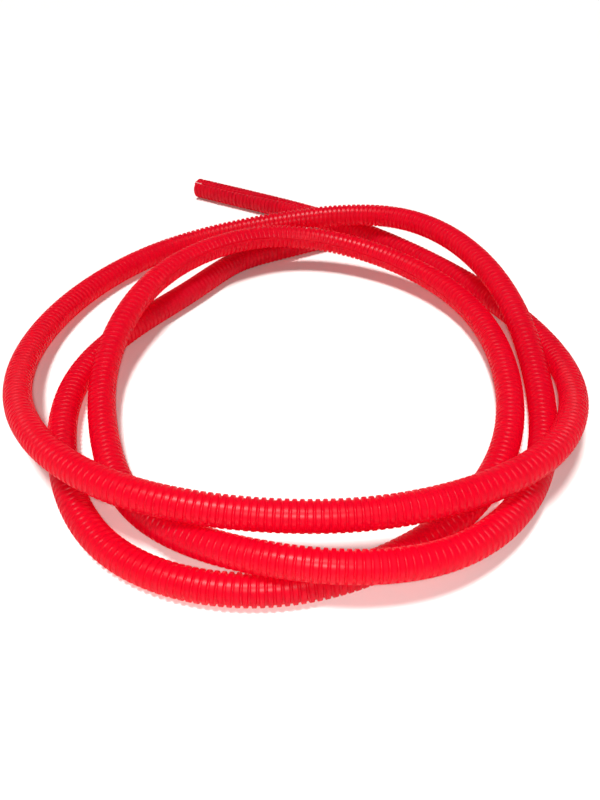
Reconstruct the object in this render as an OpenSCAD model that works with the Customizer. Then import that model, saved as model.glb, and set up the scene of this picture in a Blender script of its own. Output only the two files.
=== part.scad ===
// A bare length of slit corrugated plastic tube, lying in a loose coil of three turns.
// It is one extruded piece, cut off square at both ends. The two ends are drawn with their
// ribs, bore and slit. The stretch between them is drawn plain, at the diameter over the ribs,
// in one node a turn. Millimetres, +Z up. The origin is on the surface that the coil lies on,
// below the middle of its outline.

/* [Tube] */
// Outside diameter, over the ribs
tube_od = 16; // [14:0.25:16]
// Radial height of a rib above the root between two ribs
rib_height = 1; // [0.5:0.1:1.5]
// Distance from one rib to the next
rib_pitch = 3.6; // [3:0.1:4.5]
// Width of the flat between two ribs, outside
root_flat = 1; // [0.6:0.1:1.4]
// Length along the tube over which a rib's side rises
rib_flank = 0.35; // [0.2:0.05:0.4]
// Thickness of the plastic
wall_t = 0.5; // [0.3:0.05:0.6]
// Width of the slit that runs the whole length
slit_w = 0.6; // [0.3:0.1:1.2]

/* [Cut ends] */
// Ribs on the straight stretch at each end
end_ribs = 12; // [6:1:12]
// Turn of the slit about the tube at the free end, from the underside
free_slit_turn = 150; // [-180:10:180]
// Turn of the slit about the tube at the covered end, from the underside
covered_slit_turn = -40; // [-180:10:180]

/* [Plain turns] */
// Sides of the plain tube
tube_sides = 12; // [8:2:12]
// Rings for each step of the route
rings_a_step = 2; // [1:1:2]

/* [Hidden] */

tube_r = tube_od / 2;
root_r = tube_r - rib_height;
bore_r = root_r - wall_t;
end_len = end_ribs * rib_pitch;
// Along the tube, the inner corners lie this far beyond the outer ones
skin_shift = 0.7 * wall_t;
smooth = 96;
slit_overcut = 1;
red = [0.86, 0.04, 0.09];

// Where the angles and radii of the route are measured from
coil_centre = [-16, -57];
// The route of the tube's axis, from the free end to the covered one: the angle about the
// coil's centre, the distance from it, and how far the tube is lifted off the surface.
// The turns run clockwise seen from above. Where one crosses another it rises in a long hump.
ROUTE = [
    [97, 250, 0], [80, 216, 0], [60, 192, 0], [30, 184, 0], [0, 192, 4],
    [-30, 182, 23], [-60, 152, 26], [-90, 132, 24], [-120, 140, 30], [-150, 144, 20],
    [-180, 154, 6], [-210, 166, 0], [-240, 184, 0], [-270, 186, 10], [-300, 210, 24],
    [-330, 182, 24], [-360, 167, 5], [-390, 176, 0], [-420, 180, 14], [-450, 154, 20],
    [-480, 130, 2], [-510, 104, 0], [-540, 100, 6], [-570, 104, 20], [-600, 126, 22],
    [-630, 154, 20], [-660, 158, 12], [-690, 161, 6], [-720, 151, 4], [-750, 154, 0],
    [-780, 156, 0], [-810, 162, 0], [-840, 158, 0], [-870, 130, 0], [-900, 120, 0],
    [-930, 108, 0], [-960, 112, 0], [-978, 144, 0], [-990, 156, 0]
];
last_row = len(ROUTE) - 1;
// The rows at which one plain turn ends and the next begins, at the back of the coil
turn_rows = [0, 13, 25, last_row];

function place(row) = [
    coil_centre.x + row[1] * cos(row[0]),
    coil_centre.y + row[1] * sin(row[0]),
    tube_r + row[2]
];
// The row's point, with one more at each end in line with the last two, so that the curve
// starts and stops straight
function guide(i) =
    i < 0 ? 2 * guide(0) - guide(1) :
    i > last_row ? 2 * guide(last_row) - guide(last_row - 1) :
    place(ROUTE[i]);
// A uniform cubic B-spline along the guide points, and its direction
function on_route(i, t) = (
    pow(1 - t, 3) * guide(i - 1)
    + (3 * pow(t, 3) - 6 * pow(t, 2) + 4) * guide(i)
    + (-3 * pow(t, 3) + 3 * pow(t, 2) + 3 * t + 1) * guide(i + 1)
    + pow(t, 3) * guide(i + 2)
) / 6;
function slope(i, t) =
    -pow(1 - t, 2) * guide(i - 1)
    + (3 * pow(t, 2) - 4 * t) * guide(i)
    + (-3 * pow(t, 2) + 2 * t + 1) * guide(i + 1)
    + pow(t, 2) * guide(i + 2);
function unit(v) = v / norm(v);

// One ring of the plain tube, square to the route, with a corner at its lowest point
function ring(i, t) =
    let (along = unit(slope(i, t)))
    let (aside = unit(cross(along, [0, 0, 1])))
    let (up = cross(aside, along))
    [for (k = [0:tube_sides - 1])
        let (a = 360 * k / tube_sides - 90)
        on_route(i, t) + tube_r * (cos(a) * aside + sin(a) * up)];

// The plain tube along the route from one row to another
module plain_tube(from_row, to_row) {
    steps = (to_row - from_row) * rings_a_step;
    points = [for (s = [0:steps])
        let (i = from_row + floor(s / rings_a_step))
        each ring(i, s / rings_a_step - floor(s / rings_a_step))];
    sides = [for (s = [0:steps - 1], k = [0:tube_sides - 1])
        let (a = s * tube_sides + k)
        let (b = s * tube_sides + (k + 1) % tube_sides)
        [a, b, b + tube_sides, a + tube_sides]];
    first_cap = [for (k = [tube_sides - 1:-1:0]) k];
    last_cap = [for (k = [0:tube_sides - 1]) steps * tube_sides + k];
    polyhedron(points = points, faces = concat(sides, [first_cap, last_cap]), convexity = 6);
}

// Half the section of a ribbed wall: corner points (radius, distance along) of one face of it,
// from flat_half past the middle of one root to flat_half short of the next
function rib_corners(k, low_r, flat_half) = [
    [low_r, k * rib_pitch + flat_half],
    [low_r + rib_height, k * rib_pitch + flat_half + rib_flank],
    [low_r + rib_height, (k + 1) * rib_pitch - flat_half - rib_flank],
    [low_r, (k + 1) * rib_pitch - flat_half]
];
module ribbed_wall(ribs) {
    outer = [for (k = [0:ribs - 1]) each rib_corners(k, root_r, root_flat / 2)];
    inner = [for (k = [0:ribs - 1]) each rib_corners(k, bore_r, root_flat / 2 + skin_shift)];
    turned = [for (n = [len(inner) - 1:-1:0]) inner[n]];
    far = ribs * rib_pitch;
    rotate_extrude($fn = smooth)
        polygon(concat([[root_r, 0]], outer, [[root_r, far], [bore_r, far]], turned, [[bore_r, 0]]));
}

// A straight cut end with its ribs, bore and slit, from the joint with the plain tube outwards
module cut_end(joint, neighbour, slit_turn) {
    out = joint - neighbour;
    translate(joint)
        rotate([0, 90, atan2(out.y, out.x)])
            difference() {
                ribbed_wall(end_ribs);
                rotate([0, 0, slit_turn])
                    translate([bore_r - slit_overcut, -slit_w / 2, -slit_overcut])
                        cube([tube_r - bore_r + 2 * slit_overcut, slit_w, end_len + 2 * slit_overcut]);
            }
}

module free_end() {
    color(red) cut_end(guide(0), guide(1), free_slit_turn);
}
module first_turn() {
    color(red) plain_tube(turn_rows[0], turn_rows[1]);
}
module second_turn() {
    color(red) plain_tube(turn_rows[1], turn_rows[2]);
}
module third_turn() {
    color(red) plain_tube(turn_rows[2], turn_rows[3]);
}
module covered_end() {
    color(red) cut_end(guide(last_row), guide(last_row - 1), covered_slit_turn);
}

free_end();
first_turn();
second_turn();
third_turn();
covered_end();
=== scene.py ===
"""A bare length of red slit corrugated tube in a loose coil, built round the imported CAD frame.

One mesh is the whole tube: ribbed outside, hollow at both cut ends, with the slit along it.
It follows the same route as the CAD. Everything is in metres.
"""

import math

import bpy
import numpy as np
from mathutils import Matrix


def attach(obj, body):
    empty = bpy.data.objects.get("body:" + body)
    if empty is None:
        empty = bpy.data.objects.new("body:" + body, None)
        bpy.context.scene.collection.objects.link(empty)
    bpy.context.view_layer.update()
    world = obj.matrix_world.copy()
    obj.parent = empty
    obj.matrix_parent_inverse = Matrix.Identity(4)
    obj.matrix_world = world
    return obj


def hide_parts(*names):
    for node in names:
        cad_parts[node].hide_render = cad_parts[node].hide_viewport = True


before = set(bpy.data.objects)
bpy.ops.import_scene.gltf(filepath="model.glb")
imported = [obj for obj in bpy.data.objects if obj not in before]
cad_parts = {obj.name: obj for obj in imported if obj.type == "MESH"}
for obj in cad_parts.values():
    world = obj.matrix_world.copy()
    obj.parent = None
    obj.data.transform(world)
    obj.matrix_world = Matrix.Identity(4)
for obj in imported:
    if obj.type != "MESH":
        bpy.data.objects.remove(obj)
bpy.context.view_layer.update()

# ---------------------------------------------------------------- sizes, as in part.scad
TUBE_OD = 0.016
CREST_R = TUBE_OD / 2
ROOT_R = 0.007
WALL = 0.0005
RIB_PITCH = 0.0036
END_RIBS = 12                # ribs on the straight stretch at each cut end
END_LENGTH = END_RIBS * RIB_PITCH
COIL_CENTRE = (-0.016, -0.057)
# The route of the tube's axis: degrees about the coil's centre, millimetres from it, and
# millimetres of lift off the surface
ROUTE = [
    (97, 250, 0), (80, 216, 0), (60, 192, 0), (30, 184, 0), (0, 192, 4),
    (-30, 182, 23), (-60, 152, 26), (-90, 132, 24), (-120, 140, 30), (-150, 144, 20),
    (-180, 154, 6), (-210, 166, 0), (-240, 184, 0), (-270, 186, 10), (-300, 210, 24),
    (-330, 182, 24), (-360, 167, 5), (-390, 176, 0), (-420, 180, 14), (-450, 154, 20),
    (-480, 130, 2), (-510, 104, 0), (-540, 100, 6), (-570, 104, 20), (-600, 126, 22),
    (-630, 154, 20), (-660, 158, 12), (-690, 161, 6), (-720, 151, 4), (-750, 154, 0),
    (-780, 156, 0), (-810, 162, 0), (-840, 158, 0), (-870, 130, 0), (-900, 120, 0),
    (-930, 108, 0), (-960, 112, 0), (-978, 144, 0), (-990, 156, 0),
]
# Where the slit faces, in degrees from the underside towards the right of the way the route
# runs: (row of ROUTE, degrees)
SLIT_TURN = [
    (0, 150), (5, 280), (9, 300), (19, 305), (24, 480), (28, 440), (32, 400), (38, 400),
]

# ---------------------------------------------------------------- the tube's own detail
STEPS_A_SPAN = 64            # straight steps in each span of the route's curve
# One rib: how far along the pitch, and the radius
RIB = [(0.14, ROOT_R), (0.25, CREST_R), (0.75, CREST_R), (0.86, ROOT_R)]
SIDES = 22                   # points round the ribbed part of a ring
LIP_R = 0.00775              # the smooth strip on both sides of the slit
STRIP_DEG = 9.0              # half the width of that strip
SLIT_DEG = 2.2               # half the width of the slit
RIB_START_DEG = 3            # from the strip's edge to where a rib has its full height
GROOVE_R = 0.0068            # the bottom of the slit, where the tube is modelled as solid
HOLLOW_RIBS = 24             # ribs at each end with an inside
RINGS_A_RIB = len(RIB)
CREST_RINGS = (2, 3)         # which of a rib's rings lie on its crest; ring 0 is the cut end

# ---------------------------------------------------------------- looks
RED_DARK = (0.74, 0.001, 0.026, 1)
RED_LIGHT = (0.86, 0.002, 0.04, 1)
RED_THROUGH = (0.96, 0.006, 0.1, 1)
THROUGH_SHARE = 0.65         # how much of the shading is light that passes the wall
WHITE = (0.93, 0.91, 0.88, 1)
FLOOR_HALF = 12.0
CAMERA_FROM_COIL = (0.021, -0.355)
CAMERA_HEIGHT = 0.2947
CAMERA_DOWN_DEG = 40.58      # how far the camera looks below the horizon
CAMERA_LENS = 44.8


def collection_add(obj):
    bpy.context.scene.collection.objects.link(obj)
    return obj


def spline(values):
    """A uniform cubic B-spline along the rows, its slope, and how far along the rows each is.
    It starts and stops straight, at the first and the last row."""
    rows = np.asarray(values, float)
    guide = np.vstack([2 * rows[0] - rows[1], rows, 2 * rows[-1] - rows[-2]])
    t = (np.arange(STEPS_A_SPAN) / STEPS_A_SPAN)[:, None]
    points, slopes, at = [], [], []
    for i in range(len(rows) - 1):
        a, b, c, d = guide[i:i + 4]
        points.append(
            ((1 - t) ** 3 * a + (3 * t**3 - 6 * t**2 + 4) * b
             + (-3 * t**3 + 3 * t**2 + 3 * t + 1) * c + t**3 * d) / 6
        )
        slopes.append(
            (-((1 - t) ** 2) * a + (3 * t**2 - 4 * t) * b
             + (-3 * t**2 + 2 * t + 1) * c + t**2 * d) / 2
        )
        at.append(i + t[:, 0])
    points.append(rows[-1:])
    slopes.append((rows[-1] - rows[-2])[None])
    at.append([len(rows) - 1.0])
    return np.vstack(points), np.vstack(slopes), np.concatenate(at)


def tube_line():
    """The whole axis, cut ends included: distance along, points, directions, slit turns."""
    rows = []
    for degrees, radius, lift in ROUTE:
        a = math.radians(degrees)
        rows.append((
            COIL_CENTRE[0] + radius / 1000 * math.cos(a),
            COIL_CENTRE[1] + radius / 1000 * math.sin(a),
            CREST_R + lift / 1000,
        ))
    points, slopes, at = spline(rows)
    directions = slopes / np.linalg.norm(slopes, axis=1)[:, None]
    row_turns = np.interp(np.arange(len(ROUTE)), *np.array(SLIT_TURN, float).T)
    turns = spline(row_turns[:, None])[0][:, 0]
    first, last = directions[0], directions[-1]
    points = np.vstack([points[0] - END_LENGTH * first, points, points[-1] + END_LENGTH * last])
    directions = np.vstack([first, directions, last])
    turns = np.concatenate([turns[:1], turns, turns[-1:]])
    steps = np.linalg.norm(np.diff(points, axis=0), axis=1)
    return np.concatenate([[0], np.cumsum(steps)]), points, directions, turns


def at_distance(line, s):
    """Points, directions and slit turns at the distances s along the line."""
    along, points, directions, turns = line
    p = np.stack([np.interp(s, along, points[:, k]) for k in range(3)], axis=1)
    d = np.stack([np.interp(s, along, directions[:, k]) for k in range(3)], axis=1)
    return p, d / np.linalg.norm(d, axis=1)[:, None], np.interp(s, along, turns)


def ring_stations(length):
    """Where the rings go: distance, radius of the ribbed part, and which rib it is on."""
    ribs = round(length / RIB_PITCH)
    pitch = length / ribs
    rows = [(0.0, ROOT_R, 0)]
    for k in range(ribs):
        rows += [((k + u) * pitch, r, k) for u, r in RIB]
    rows.append((length, ROOT_R, ribs - 1))
    return np.array(rows), ribs


def make_tube():
    """The tube's mesh: rings of points along the axis, joined into outside, inside, slit and
    cut ends. Gives the object and the middle of each ring."""
    line = tube_line()
    stations, ribs = ring_stations(line[0][-1])
    centres, directions, turns = at_distance(line, stations[:, 0])
    right = np.cross(directions, (0, 0, 1))
    right /= np.linalg.norm(right, axis=1)[:, None]
    up = np.cross(right, directions)

    ribbed = np.linspace(
        STRIP_DEG + RIB_START_DEG, 360 - STRIP_DEG - RIB_START_DEG, SIDES
    )
    offsets = np.concatenate(
        [[SLIT_DEG, STRIP_DEG], ribbed, [360 - STRIP_DEG, 360 - SLIT_DEG]]
    )
    n = len(offsets)
    on_strip = np.zeros(n, bool)
    on_strip[[0, 1, -2, -1]] = True
    hollow = (stations[:, 2] < HOLLOW_RIBS) | (stations[:, 2] >= ribs - HOLLOW_RIBS)

    vertices, faces, first_of = [], [], []

    def add(i, degrees, radii):
        """Points of ring i at these turns from the slit; gives the first one's number."""
        a = np.radians(turns[i] + degrees)
        ring = centres[i] + radii[:, None] * (
            np.sin(a)[:, None] * right[i] - np.cos(a)[:, None] * up[i]
        )
        start = len(vertices)
        vertices.extend(map(tuple, ring))
        return start

    for i, (_, radius, _) in enumerate(stations):
        outer = np.where(on_strip, LIP_R, radius)
        first = add(i, offsets, outer)
        if hollow[i]:
            add(i, offsets, outer - WALL)
        else:
            add(i, np.array([360 - SLIT_DEG, SLIT_DEG]), np.full(2, GROOVE_R))
        first_of.append(first)

    for i in range(len(stations) - 1):
        a, b = first_of[i], first_of[i + 1]
        for k in range(n - 1):
            faces.append((a + k, b + k, b + k + 1, a + k + 1))
        both = hollow[i], hollow[i + 1]
        # the slit's two sides and, where the tube is solid, its bottom
        low_a = (a + n, a + 2 * n - 1) if both[0] else (a + n + 1, a + n)
        low_b = (b + n, b + 2 * n - 1) if both[1] else (b + n + 1, b + n)
        faces.append((a, low_a[0], low_b[0], b))
        faces.append((b + n - 1, low_b[1], low_a[1], a + n - 1))
        if all(both):
            for k in range(n - 1):
                faces.append((a + n + k, a + n + k + 1, b + n + k + 1, b + n + k))
        else:
            faces.append((low_a[1], low_b[1], low_b[0], low_a[0]))
        if both == (True, False):
            faces.append(tuple(range(a + n, a + 2 * n)))
        if both == (False, True):
            faces.append(tuple(range(b + 2 * n - 1, b + n - 1, -1)))
    for first, flip in ((first_of[0], 1), (first_of[-1], -1)):
        for k in range(n - 1):
            faces.append((first + k, first + k + 1, first + n + k + 1, first + n + k)[::flip])

    mesh = bpy.data.meshes.new("corrugated_tube")
    mesh.from_pydata(vertices, [], faces)
    mesh.validate()
    mesh.update()
    tube = collection_add(bpy.data.objects.new("corrugated_tube", mesh))
    mesh.shade_smooth()
    mark_hard_edges(tube, hollow, first_of, n)
    return tube, centres


def mark_hard_edges(tube, hollow, first_of, n):
    """The corners of the ribs, the slit's lips and the rims of the cut ends are sharp."""
    sharp = set()
    for i in range(1, len(first_of) - 1):
        if i % RINGS_A_RIB in CREST_RINGS:
            sharp.update((first_of[i] + k, first_of[i] + k + 1) for k in range(1, n - 2))
    for i in range(len(first_of) - 1):
        a, b = first_of[i], first_of[i + 1]
        sharp.add((a, b))
        sharp.add((a + n - 1, b + n - 1))
        if hollow[i] and hollow[i + 1]:
            sharp.add((a + n, b + n))
            sharp.add((a + 2 * n - 1, b + 2 * n - 1))
    for first in (first_of[0], first_of[-1]):
        for k in range(n - 1):
            sharp.add((first + k, first + k + 1))
            sharp.add((first + n + k, first + n + k + 1))
    mesh = tube.data
    pairs = np.zeros(len(mesh.edges) * 2, np.int32)
    mesh.edges.foreach_get("vertices", pairs)
    pairs = np.sort(pairs.reshape(-1, 2), axis=1)
    flags = np.array([(int(a), int(b)) in sharp for a, b in pairs], bool)
    attribute = mesh.attributes.get("sharp_edge")
    if attribute is None:
        attribute = mesh.attributes.new("sharp_edge", "BOOLEAN", "EDGE")
    attribute.data.foreach_set("value", flags)


# ---------------------------------------------------------------- materials
def new_material(name):
    material = bpy.data.materials.new(name)
    material.use_nodes = True
    nodes, links = material.node_tree.nodes, material.node_tree.links
    return material, nodes, links, nodes["Principled BSDF"]


def red_plastic():
    """Thin extruded plastic, deep red and even, with a soft mottle in its colour and gloss. The
    wall lets some light through, so its shadows are pink."""
    material, nodes, links, shader = new_material("red_plastic")
    place = nodes.new("ShaderNodeTexCoord")
    mottle = nodes.new("ShaderNodeTexNoise")
    mottle.inputs["Scale"].default_value = 60
    mottle.inputs["Detail"].default_value = 4
    links.new(place.outputs["Object"], mottle.inputs["Vector"])
    colour = nodes.new("ShaderNodeMix")
    colour.data_type = "RGBA"
    colour.inputs["A"].default_value = RED_DARK
    colour.inputs["B"].default_value = RED_LIGHT
    links.new(mottle.outputs["Fac"], colour.inputs["Factor"])
    links.new(colour.outputs["Result"], shader.inputs["Base Color"])
    gloss = nodes.new("ShaderNodeMapRange")
    gloss.inputs["To Min"].default_value = 0.26
    gloss.inputs["To Max"].default_value = 0.38
    links.new(mottle.outputs["Fac"], gloss.inputs["Value"])
    links.new(gloss.outputs["Result"], shader.inputs["Roughness"])
    shader.inputs["Specular IOR Level"].default_value = 0.4
    grain = nodes.new("ShaderNodeTexNoise")
    grain.inputs["Scale"].default_value = 900
    links.new(place.outputs["Object"], grain.inputs["Vector"])
    bump = nodes.new("ShaderNodeBump")
    bump.inputs["Strength"].default_value = 0.12
    bump.inputs["Distance"].default_value = 0.0002
    links.new(grain.outputs["Fac"], bump.inputs["Height"])
    links.new(bump.outputs["Normal"], shader.inputs["Normal"])
    through = nodes.new("ShaderNodeBsdfTranslucent")
    through.inputs["Color"].default_value = RED_THROUGH
    wall = nodes.new("ShaderNodeMixShader")
    wall.inputs["Fac"].default_value = THROUGH_SHARE
    links.new(shader.outputs["BSDF"], wall.inputs[1])
    links.new(through.outputs["BSDF"], wall.inputs[2])
    links.new(wall.outputs["Shader"], nodes["Material Output"].inputs["Surface"])
    return material


def white_surface():
    material, _, _, shader = new_material("white_surface")
    shader.inputs["Base Color"].default_value = WHITE
    shader.inputs["Roughness"].default_value = 0.6
    shader.inputs["Specular IOR Level"].default_value = 0
    return material


# ---------------------------------------------------------------- camera, floor, light
def make_camera():
    data = bpy.data.cameras.new("camera")
    data.sensor_fit = "HORIZONTAL"
    data.sensor_width = 36
    data.lens = CAMERA_LENS
    camera = collection_add(bpy.data.objects.new("camera", data))
    camera.location = (
        COIL_CENTRE[0] + CAMERA_FROM_COIL[0],
        COIL_CENTRE[1] + CAMERA_FROM_COIL[1],
        CAMERA_HEIGHT,
    )
    camera.rotation_euler = (math.radians(90 - CAMERA_DOWN_DEG), 0, 0)
    bpy.context.scene.camera = camera


def make_floor():
    half = FLOOR_HALF
    corners = [(-half, -half, 0), (half, -half, 0), (half, half, 0), (-half, half, 0)]
    mesh = bpy.data.meshes.new("floor")
    mesh.from_pydata(corners, [], [(0, 1, 2, 3)])
    floor = collection_add(bpy.data.objects.new("floor", mesh))
    mesh.materials.append(white_surface())


def add_light(kind, name, place, aim, energy):
    """A light at a place, turned towards the point it aims at."""
    data = bpy.data.lights.new(name, kind)
    data.energy = energy
    light = collection_add(bpy.data.objects.new(name, data))
    light.location = place
    to = np.subtract(aim, place)
    tilt = math.acos(-to[2] / np.linalg.norm(to))
    light.rotation_euler = (tilt, 0, math.atan2(to[1], to[0]) - math.pi / 2)
    return data


def make_light():
    world = bpy.data.worlds.new("world")
    world.use_nodes = True
    nodes, links = world.node_tree.nodes, world.node_tree.links
    sky = nodes["Background"]
    sky.inputs["Color"].default_value = (1, 1, 1, 1)
    # pale near the horizon, dim overhead
    direction = nodes.new("ShaderNodeTexCoord")
    split = nodes.new("ShaderNodeSeparateXYZ")
    links.new(direction.outputs["Generated"], split.inputs["Vector"])
    height = nodes.new("ShaderNodeMapRange")
    height.inputs["From Min"].default_value = 0.15
    height.inputs["From Max"].default_value = 0.5
    height.inputs["To Min"].default_value = 0.8
    height.inputs["To Max"].default_value = 0.08
    links.new(split.outputs["Z"], height.inputs["Value"])
    links.new(height.outputs["Result"], sky.inputs["Strength"])
    bpy.context.scene.world = world
    lamp = add_light("AREA", "lamp_by_the_camera", (0.005, -0.43, 0.32), (0, -0.1, 0), 0.9)
    lamp.shape = "DISK"
    lamp.size = 0.03
    ceiling = add_light("SUN", "ceiling_light", (-0.35, -0.2, 2.0), (0, 0, 0), 3.1)
    ceiling.angle = math.radians(12)


make_camera()
tube, centres = make_tube()
tube.data.materials.append(red_plastic())
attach(tube, "root")
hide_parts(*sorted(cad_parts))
make_floor()
make_light()
bpy.context.scene.view_settings.view_transform = "Standard"
